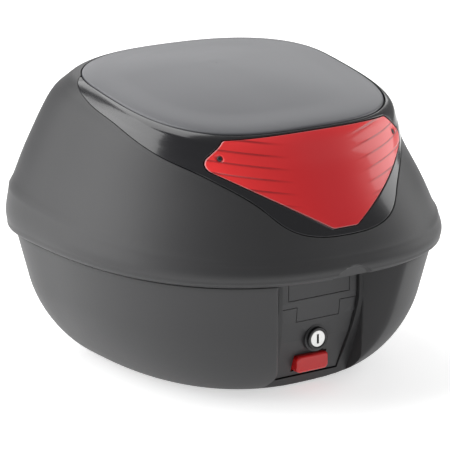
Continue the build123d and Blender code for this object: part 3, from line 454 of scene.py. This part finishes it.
# A ledge inside the skirt presses on the seal; beside the recess the tray does that instead.
beside_recess = (np.sin(turn) < 0) & (np.abs(skirt[0, :, 0]) < RECESS_REACH)
ledge_share = np.where(beside_recess, 0.05, 1.0)[:, None]
ledge = [skirt_inside(z, WALL) * (1 - ledge_share) + skirt_inside(z, LEDGE_INSET) * ledge_share
         for z in (LEDGE_TOP_Z, LEDGE_Z)]
inner_skirt = [skirt_inside(z, WALL) for z in (160.0, LEDGE_TOP_Z)] + ledge + [skirt_inside(LEDGE_Z, WALL)]
rim_inside = [scooped(skirt_inside(z, WALL), WALL) for z in (137.0, 134.0, 131.6)]
lid_grid = np.stack([*skirt, *outside, *under, *inner_skirt, *rim_inside])
lid = mesh_of("lid_moulding", lid_grid, closed_rows=True)
dress(lid, grained_plastic)
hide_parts("lid_shell")
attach(lid, "lid")

# ---------------------------------------------------------------- gloss trim
# A horseshoe panel in polished black plastic lies in the lid's step. It wraps the cover's rear from
# tip to tip and has a window for the lens; snap tongues under it aren't visible.
LENS_CORNERS = [(14.0, 178.5, 7.0), (121.5, 239.0, 8.0), (96.0, 261.5, 6.0)]    # x, z, corner radius
WINDOW_GAP, PANEL_THICK, EDGE_ROUND = 0.7, 3.0, 0.8
TRIM_GAP = 0.022                    # in levels, between lid and trim and between trim and cover
ARC_POINTS, EDGE_POINTS = 20, 70    # along each corner of the window and each edge between


def lens_outline(grow):
    """Rounded hexagon seen from behind, counter-clockwise: at each corner an arc of radius r + grow
    about the corner's centre, then a straight edge. Returns x and z, corner by corner."""
    corners = np.array(LENS_CORNERS + [(-x, z, r) for x, z, r in reversed(LENS_CORNERS)])
    place, radius = corners[:, :2], corners[:, 2:]
    ahead = np.roll(place, -1, axis=0) - place
    ahead /= np.linalg.norm(ahead, axis=1, keepdims=True)
    leaving = np.stack([ahead[:, 1], -ahead[:, 0]], -1)
    arriving = np.roll(leaving, 1, axis=0)
    cosine = np.sum(arriving * leaving, axis=1, keepdims=True)
    centre = place - radius * (arriving + leaving) / (1 + cosine)
    share = np.linspace(0, 1, ARC_POINTS)[None, :, None]
    ray = arriving[:, None] * (1 - share) + leaving[:, None] * share
    ray /= np.linalg.norm(ray, axis=2, keepdims=True)
    arcs = centre[:, None] + (radius[:, None] + grow) * ray
    share = np.linspace(0, 1, EDGE_POINTS + 2)[None, 1:-1, None]
    edges = arcs[:, -1:] * (1 - share) + np.roll(arcs, -1, axis=0)[:, :1] * share
    outline = np.concatenate([arcs, edges], axis=1).reshape(-1, 2)
    return outline[:, 0], outline[:, 1]


def lid_place(x, z):
    """Angle and level where the rear skin has this x and z, found by Newton's method on (x, z)."""
    angle, level = -math.pi / 2 + x / 210.0, np.full_like(x, 2.0)
    step = 1e-4
    for _ in range(14):
        here = lid_point(angle, level)
        d_angle = (lid_point(angle + step, level) - here) / step
        d_level = (lid_point(angle, level + step) - here) / step
        miss_x, miss_z = x - here[..., 0], z - here[..., 2]
        det = d_angle[..., 0] * d_level[..., 2] - d_level[..., 0] * d_angle[..., 2]
        angle = angle + np.clip((miss_x * d_level[..., 2] - miss_z * d_level[..., 0]) / det, -0.2, 0.2)
        level = level + np.clip((miss_z * d_angle[..., 0] - miss_x * d_angle[..., 2]) / det, -0.5, 0.5)
        level = np.clip(level, 0.05, 4.3)
    return angle, level


# The trim's outer edge runs along its low edge from the middle to a tip, and back under the cover.
# Each point of the window's edge is joined to one on the outer edge, straight in angle and height.
side_angle = np.linspace(-2.4, 2.4, 900) - math.pi / 2
low_edge = trim_level(side_angle)
tip = np.max(side_angle[low_edge < COVER_LEVEL - 0.02]) + math.pi / 2
window_x, window_z = lens_outline(WINDOW_GAP)
window_angle, window_level = lid_place(window_x, window_z)
side = ARC_POINTS + EDGE_POINTS       # points of one corner with the edge after it
arc_middle, arc_end = (ARC_POINTS - 1) / 2, ARC_POINTS - 1
loop = np.arange(6 * side)
low_turn = (window_angle[side] + math.pi / 2) * 0.93
top_turn = window_angle[2 * side + arc_end] + math.pi / 2
key_index = np.array([arc_middle, side, 1.5 * side + arc_middle, 2 * side + arc_end,
                      3 * side, 3.5 * side + arc_middle, 4 * side + arc_end, 5 * side + arc_middle])
key_turn = np.array([0.05, low_turn, tip, top_turn, -top_turn, -tip, -low_turn, -0.05])
outer_turn = np.interp(loop, key_index, key_turn, period=6 * side)
outer_height = ((loop > key_index[2]) & (loop < key_index[5])).astype(float)


def trim_low(turned):
    """Level of the trim's low edge at an angle counted from the rear."""
    return np.interp(turned - math.pi / 2, side_angle, low_edge) + TRIM_GAP


def trim_span(turned):
    """Levels between the trim's low edge and the cover, at least a hair."""
    return np.maximum(COVER_LEVEL - TRIM_GAP - trim_low(turned), 1e-3)


window_turn = window_angle + math.pi / 2
window_height = (window_level - trim_low(window_turn)) / trim_span(window_turn)


def trim_point(share, lift):
    """Trim's skin at a share of the way from the window's edge, 0, to the outer edge, 1."""
    turned = window_turn + (outer_turn - window_turn) * share
    height = window_height + (outer_height - window_height) * share
    return lid_skin(turned - math.pi / 2, trim_low(turned) + height * trim_span(turned), lift)


trim_width = np.linalg.norm(trim_point(1.0, 0.0) - trim_point(0.0, 0.0), axis=-1)
round_steps = [(0.0, -PANEL_THICK), (0.0, -EDGE_ROUND), (0.1, -0.45), (0.35, -0.15), (0.8, 0.0)]
from_window = [trim_point(np.minimum(d / trim_width, 0.3), lift) for d, lift in round_steps]
to_edge = [trim_point(1 - np.minimum(d / trim_width, 0.3), lift) for d, lift in round_steps[::-1]]
near_share, far_share = np.minimum(1.2 / trim_width, 0.4), 1 - np.minimum(1.2 / trim_width, 0.4)
across_trim = [trim_point(near_share + (far_share - near_share) * share, 0.0)
               for share in np.linspace(0, 1, 30)]
behind_trim = [trim_point(share, -PANEL_THICK) for share in np.linspace(1, 0, 12)[1:-1]]
trim_grid = np.stack(from_window + across_trim + to_edge + behind_trim)
trim = mesh_of("horseshoe_trim", trim_grid, closed_rows=True)
gloss_black, tree, shader = new_material("gloss_black", (0.01, 0.01, 0.012), 0.2)
shader.inputs["Coat Weight"].default_value = 0.2
shader.inputs["Coat Roughness"].default_value = 0.05
add_grain(tree, shader, 60.0, 0.000004, wear=0.03)
dress(trim, gloss_black)
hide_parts("gloss_trim")
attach(trim, "lid")

# ---------------------------------------------------------------- lens
# One piece of red acrylic, 3 mm thick with a polished edge. Prism steps run in from both wings and
# die out towards the middle, and a screw at each wing holds it over a bright foil.
LENS_MIDDLE_Z = 226.0
STREAK_PITCH, STREAK_DEPTH, STREAK_SLOPE = 10.8, 0.55, 0.17
STREAK_START, STREAK_FULL = 22.0, 78.0
SCREW_X, SCREW_Z, SCREW_SINK, SINK_RADIUS = 103.2, 246.5, 1.3, 3.6


def lens_grid(share):
    """x and z of rows that grow from the lens's middle to its outline."""
    edge_x, edge_z = lens_outline(0.0)
    share = np.asarray(share)[:, None]
    return edge_x * share, LENS_MIDDLE_Z + (edge_z - LENS_MIDDLE_Z) * share


def prism_lift(x, z):
    """Shingle steps along the wings: the skin sinks slowly with height, then jumps back out."""
    phase = ((z - STREAK_SLOPE * np.abs(x)) / STREAK_PITCH) % 1.0
    saw = np.where(phase < 0.86, phase / 0.86, (1 - phase) / 0.14)
    strength = np.clip((np.abs(x) - STREAK_START) / (STREAK_FULL - STREAK_START), 0, 1)
    sink = np.clip((SINK_RADIUS - np.hypot(np.abs(x) - SCREW_X, z - SCREW_Z)) / 0.9, 0, 1)
    return -STREAK_DEPTH * saw * strength ** 2 * (3 - 2 * strength) * (1 - sink) - SCREW_SINK * sink


inner_share = np.concatenate([np.linspace(0, 0.7, 22), np.linspace(0.7, 0.93, 34)[1:],
                              np.linspace(0.93, 0.988, 9)[1:]])
lens_x, lens_z = lens_grid(inner_share)
lens_angle, lens_level = lid_place(lens_x, lens_z)
rim_x, rim_z = lens_grid([0.988, 1.0])
rim_angle, rim_level = lid_place(rim_x, rim_z)
fade_out = np.clip((0.995 - inner_share) / 0.04, 0, 1)[:, None]
front_face = lid_skin(lens_angle, lens_level, prism_lift(lens_x, lens_z) * fade_out)
rim_rows = [lid_skin(rim_angle[0] * (1 - s) + rim_angle[1] * s,
                     rim_level[0] * (1 - s) + rim_level[1] * s, lift)
            for s, lift in ((0.3, -0.06), (0.65, -0.3), (0.9, -0.7), (1.0, -1.2), (1.0, -PANEL_THICK))]
back_face = lid_skin(lens_angle[::-4], lens_level[::-4], -PANEL_THICK)
# The polished edge's rows carry the value for a painted highlight.
highlight_rows = np.concatenate([np.zeros(len(front_face)), [0.6, 1.0, 1.0, 0.3, 0.0], np.zeros(len(back_face))])
lens = mesh_of("red_lens", np.concatenate([front_face, np.stack(rim_rows), back_face]), highlight_rows=highlight_rows)
foil_face = lid_skin(lens_angle[:-4:4], lens_level[:-4:4], -PANEL_THICK - 0.15)
foil_back = lid_skin(lens_angle[:-4:4], lens_level[:-4:4], -PANEL_THICK - 0.6)
foil = mesh_of("lens_foil", np.concatenate([foil_face, foil_back[::-1]]))

red_acrylic, tree, shader = new_material("red_acrylic", (0.62, 0.006, 0.012), 0.33)
shader.inputs["Coat Weight"].default_value = 0.3
shader.inputs["Coat Roughness"].default_value = 0.06
add_grain(tree, shader, 220.0, 0.000004, wear=0.03)


def math_node(tree, operation, first, second=None):
    """One math node fed by sockets or plain numbers; returns its output."""
    made = tree.nodes.new("ShaderNodeMath")
    made.operation = operation
    for socket, value in zip(made.inputs, (first, second)):
        if isinstance(value, float):
            socket.default_value = value
        elif value is not None:
            tree.links.new(value, socket)
    return made.outputs[0]


def ramp_node(tree, value, low, high):
    """0 below low, 1 above high and smooth between."""
    made = tree.nodes.new("ShaderNodeMapRange")
    made.interpolation_type = "SMOOTHSTEP"
    made.inputs["From Min"].default_value = low
    made.inputs["From Max"].default_value = high
    tree.links.new(value, made.inputs["Value"])
    return made.outputs["Result"]


def blend_color(tree, factor, first, second):
    """Mixes two colours, each a plain colour or a socket; returns the result."""
    made = tree.nodes.new("ShaderNodeMix")
    made.data_type = "RGBA"
    tree.links.new(factor, made.inputs["Factor"])
    for name, value in (("A", first), ("B", second)):
        if isinstance(value, tuple):
            made.inputs[name].default_value = (*value, 1.0)
        else:
            tree.links.new(value, made.inputs[name])
    return made.outputs["Result"]


# The wings are painted a lighter red for the light the prisms and foil send back, each prism step ends in a
# painted dark line of shade, and the polished edge gets a pale painted highlight.
place = tree.nodes.new("ShaderNodeTexCoord")
split = tree.nodes.new("ShaderNodeSeparateXYZ")
rim_highlight = tree.nodes.new("ShaderNodeAttribute")
rim_highlight.attribute_name = "rim_highlight"
tree.links.new(place.outputs["Object"], split.inputs[0])
wing = math_node(tree, "ABSOLUTE", split.outputs["X"])
rise = math_node(tree, "SUBTRACT", split.outputs["Z"], math_node(tree, "MULTIPLY", wing, STREAK_SLOPE))
phase = math_node(tree, "FRACT", math_node(tree, "DIVIDE", rise, STREAK_PITCH / 1000.0))
# Painted shade: a dark band just before each prism step jumps back out, growing along the wings.
line = math_node(tree, "SUBTRACT", ramp_node(tree, phase, 0.72, 0.9), ramp_node(tree, phase, 0.94, 0.999))
line = math_node(tree, "MULTIPLY", line, ramp_node(tree, wing, 0.036, 0.07))
# Painted reflection: the wings turn a lighter red, standing in for light the foil sends back through the
# lens.
color = blend_color(tree, ramp_node(tree, wing, 0.0, 0.11), (0.62, 0.006, 0.012), (0.86, 0.028, 0.03))
color = blend_color(tree, math_node(tree, "MULTIPLY", line, 0.75), color, (0.25, 0.004, 0.008))
# Painted highlight: the polished edge is mixed towards a pale pink.
color = blend_color(tree, math_node(tree, "MULTIPLY", rim_highlight.outputs["Fac"], 0.6), color, (0.62, 0.4, 0.4))
tree.links.new(color, shader.inputs["Base Color"])
dress(lens, red_acrylic)
silver_foil, tree, shader = new_material("silver_foil", (0.8, 0.8, 0.8), 0.25, 1.0)
add_grain(tree, shader, 300.0, 0.00002)
dress(foil, silver_foil)
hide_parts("lens")
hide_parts("reflector_backing")
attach(lens, "lid")
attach(foil, "lid")

# Two blackened screws, pan heads with a cross recess, sit sunk in the wings.
SCREW_LENGTH = 7.0
screw_profile = np.array([(0.0, -0.35), (0.5, -0.35), (0.9, 0.35), (1.6, 0.28), (2.3, 0.02), (2.7, -0.45),
                          (2.7, -0.9), (1.5, -0.9), (1.5, -SCREW_LENGTH), (0.0, -SCREW_LENGTH)])


def turned_piece(profile, seat, axis, columns=40, cross=0.0):
    """Surface of revolution: a profile of radius and height about an axis that starts at the seat.
    cross pinches the inner rows into a four-pointed recess."""
    axis = axis / np.linalg.norm(axis)
    side = np.cross(axis, [0.0, 0.0, 1.0])
    side /= np.linalg.norm(side)
    other = np.cross(axis, side)
    around = np.linspace(0, 2 * math.pi, columns, endpoint=False)
    radius, height = profile[:, 0, None], profile[:, 1, None]
    radius = radius * (1 + cross * np.cos(4 * around) * (radius < 1.2))
    return (seat + axis * height[..., None] + side * (radius * np.cos(around))[..., None]
            + other * (radius * np.sin(around))[..., None])


black_steel, tree, shader = new_material("black_steel", (0.05, 0.05, 0.05), 0.38, 0.6)
add_grain(tree, shader, 500.0, 0.00002)
for name, side in (("left", -1.0), ("right", 1.0)):
    angle, level = lid_place(np.array([side * SCREW_X]), np.array([SCREW_Z]))
    seat = lid_skin(angle, level, -SCREW_SINK + 0.7)[0]
    axis = lid_skin(angle, level, 1.0)[0] - lid_skin(angle, level, 0.0)[0]
    screw = mesh_of(f"lens_screw_{name}", turned_piece(screw_profile, seat, axis, cross=0.35))
    dress(screw, black_steel)
    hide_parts("lens_screws")
    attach(screw, "lid")

# ---------------------------------------------------------------- cover
# The top cover is a thin moulding painted satin dark grey. It clips on, and its edge rolls down into
# the gap round it.
COVER_GAP, COVER_ROUND = 0.02, 1.6
cover_angle = np.linspace(-math.pi, math.pi, 321)[:-1]
cover_steps = [(0.0, -PANEL_THICK), (0.0, -COVER_ROUND), (0.006, -0.95), (0.016, -0.5), (0.03, -0.2),
               (0.05, -0.05), (0.075, 0.0)]
rolled_edge = [lid_skin(cover_angle, COVER_LEVEL + COVER_GAP + step, lift) for step, lift in cover_steps]
crown_rows = [lid_skin(cover_angle, level, 0.0)
              for level in np.linspace(COVER_LEVEL + COVER_GAP + 0.11, TOP_LEVEL, 56)]
cover_back = [lid_skin(cover_angle, level, -PANEL_THICK)
              for level in np.linspace(TOP_LEVEL, COVER_LEVEL + COVER_GAP, 14)[:-1]]
cover = mesh_of("painted_cover", np.stack(rolled_edge + crown_rows + cover_back), closed_rows=True)
satin_paint, tree, shader = new_material("satin_paint", (0.072, 0.074, 0.083), 0.4)
shader.inputs["Coat Weight"].default_value = 0.15
shader.inputs["Coat Roughness"].default_value = 0.3
add_grain(tree, shader, 1400.0, 0.00001, wear=0.03)
dress(cover, satin_paint)
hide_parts("top_cover")
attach(cover, "lid")

# ---------------------------------------------------------------- latch
# The lever, the plate that hangs from the lid, the lock panel and the lid's tray are satin black
# mouldings. Each keeps its exact shape, with its edges eased as a mould leaves them.
def eased(name, body, material, width=0.35, angle=35.0):
    """A node's copy with doubles merged, flat faces joined and every sharp edge rounded by width mm."""
    work = bmesh.new()
    work.from_mesh(node[name].data)
    bmesh.ops.remove_doubles(work, verts=work.verts, dist=2e-6)
    bmesh.ops.dissolve_limit(work, angle_limit=math.radians(0.3), verts=work.verts, edges=work.edges)
    mesh = bpy.data.meshes.new(f"{name}_finish")
    work.to_mesh(mesh)
    work.free()
    mesh.polygons.foreach_set("use_smooth", [True] * len(mesh.polygons))
    mesh.set_sharp_from_angle(angle=math.radians(angle))
    thing = bpy.data.objects.new(f"{name}_finish", mesh)
    bpy.context.scene.collection.objects.link(thing)
    bevel = thing.modifiers.new("eased_edges", "BEVEL")
    bevel.width = width / 1000.0
    bevel.segments = 2
    bevel.limit_method = "ANGLE"
    bevel.angle_limit = math.radians(angle)
    bevel.use_clamp_overlap = True
    dress(thing, material)
    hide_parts(name)
    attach(thing, body)
    return thing


satin_black, tree, shader = new_material("satin_black", (0.038, 0.038, 0.04), 0.42)
add_grain(tree, shader, 1100.0, 0.00002)
eased("lock_panel", "base", satin_black)
eased("latch_lever", "latch_lever", satin_black)
eased("latch_hanger", "lid", satin_black)
eased("latch_tray", "lid", satin_black)
dress(node["cover_clips"], satin_black)

# ---------------------------------------------------------------- lock
# A chrome-faced plug sits in a semi-gloss black ring. The barrel behind it is clamped by a hexagon
# nut, and a screwed-on cam turns with the plug.
lock_chrome, tree, shader = new_material("lock_chrome", (0.72, 0.72, 0.71), 0.3, 1.0)
add_grain(tree, shader, 700.0, 0.00002, wear=0.06)
bezel_black, tree, shader = new_material("bezel_black", (0.012, 0.012, 0.013), 0.22)
add_grain(tree, shader, 500.0, 0.000005)
eased("lock_plug", "lock_plug", lock_chrome, width=0.3)
eased("lock_barrel", "base", lock_chrome, width=0.3)
eased("lock_bezel", "base", bezel_black, width=0.8)

# ---------------------------------------------------------------- release
# The push button is a glossy red moulding. Under it a zinc-plated hook turns on a pin in a folded
# bracket, and two wire springs push the button out.
button_red, tree, shader = new_material("button_red", (0.62, 0.006, 0.008), 0.2)
shader.inputs["Coat Weight"].default_value = 0.3
shader.inputs["Coat Roughness"].default_value = 0.08
add_grain(tree, shader, 250.0, 0.00001)
eased("release_button", "release_button", button_red, width=0.5)

zinc_steel, tree, shader = new_material("zinc_steel", (0.58, 0.58, 0.56), 0.34, 1.0)
add_grain(tree, shader, 420.0, 0.00002, wear=0.08)
for name, body in (("plate_hook", "plate_hook"), ("hook_bracket", "base"), ("front_catches", "base"),
                   ("lock_cam", "lock_plug"), ("lock_nut", "base")):
    eased(name, body, zinc_steel, width=0.3)
for name in ("hook_pin", "lever_pins", "hinge_pins", "hinge_leaf_screws", "hinge_arm_screws", "panel_screws",
             "hanger_screws", "cam_screw"):
    dress(node[name], zinc_steel)

spring_steel, tree, shader = new_material("spring_steel", (0.45, 0.45, 0.46), 0.3, 1.0)
add_grain(tree, shader, 900.0, 0.00001, wear=0.05)

# Each spring is one wire wound in seven turns.
COIL_RADIUS, COIL_WIRE, COIL_TURNS, COIL_X, COIL_Z = 3.2, 0.45, 7, 13.0, 27.2
COIL_START, COIL_END, COIL_KEEP = -117.9, -98.6, 0.75
turns = np.linspace(0, 2 * math.pi * COIL_TURNS, 30 * COIL_TURNS + 1)
thickness = np.ones_like(turns) * COIL_WIRE
turns = np.concatenate([turns[:1], turns, turns[-1:]])[:, None]
thickness = np.concatenate([[0.0], thickness, [0.0]])[:, None]
section = np.linspace(0, 2 * math.pi, 10, endpoint=False)[None, :]
reach = COIL_RADIUS + thickness * np.cos(section)
coil_pitch = (COIL_END - COIL_START) / (2 * math.pi * COIL_TURNS)
coil_y = COIL_START + coil_pitch * turns + thickness * np.sin(section)
for name, middle in (("left", -COIL_X), ("right", COIL_X)):
    coil = np.stack([middle + reach * np.cos(turns), coil_y, COIL_Z + reach * np.sin(turns)], -1)
    spring = mesh_of(f"button_spring_{name}", coil, sharp=80.0)
    dress(spring, spring_steel)
    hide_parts("button_springs")
    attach(spring, "base")
    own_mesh(spring)

# ---------------------------------------------------------------- hinges
# Two moulded hinges join the halves on the rider's side: leaves screwed to the base, arms screwed
# inside the lid. A soft rubber seal lies on the base's lip.
eased("hinge_leaves", "base", grained_plastic, width=0.5)
eased("hinge_arms", "lid", grained_plastic, width=0.5)
seal_rubber, tree, shader = new_material("seal_rubber", (0.018, 0.018, 0.018), 0.8)
add_grain(tree, shader, 600.0, 0.00003)
dress(node["rim_seal"], seal_rubber)
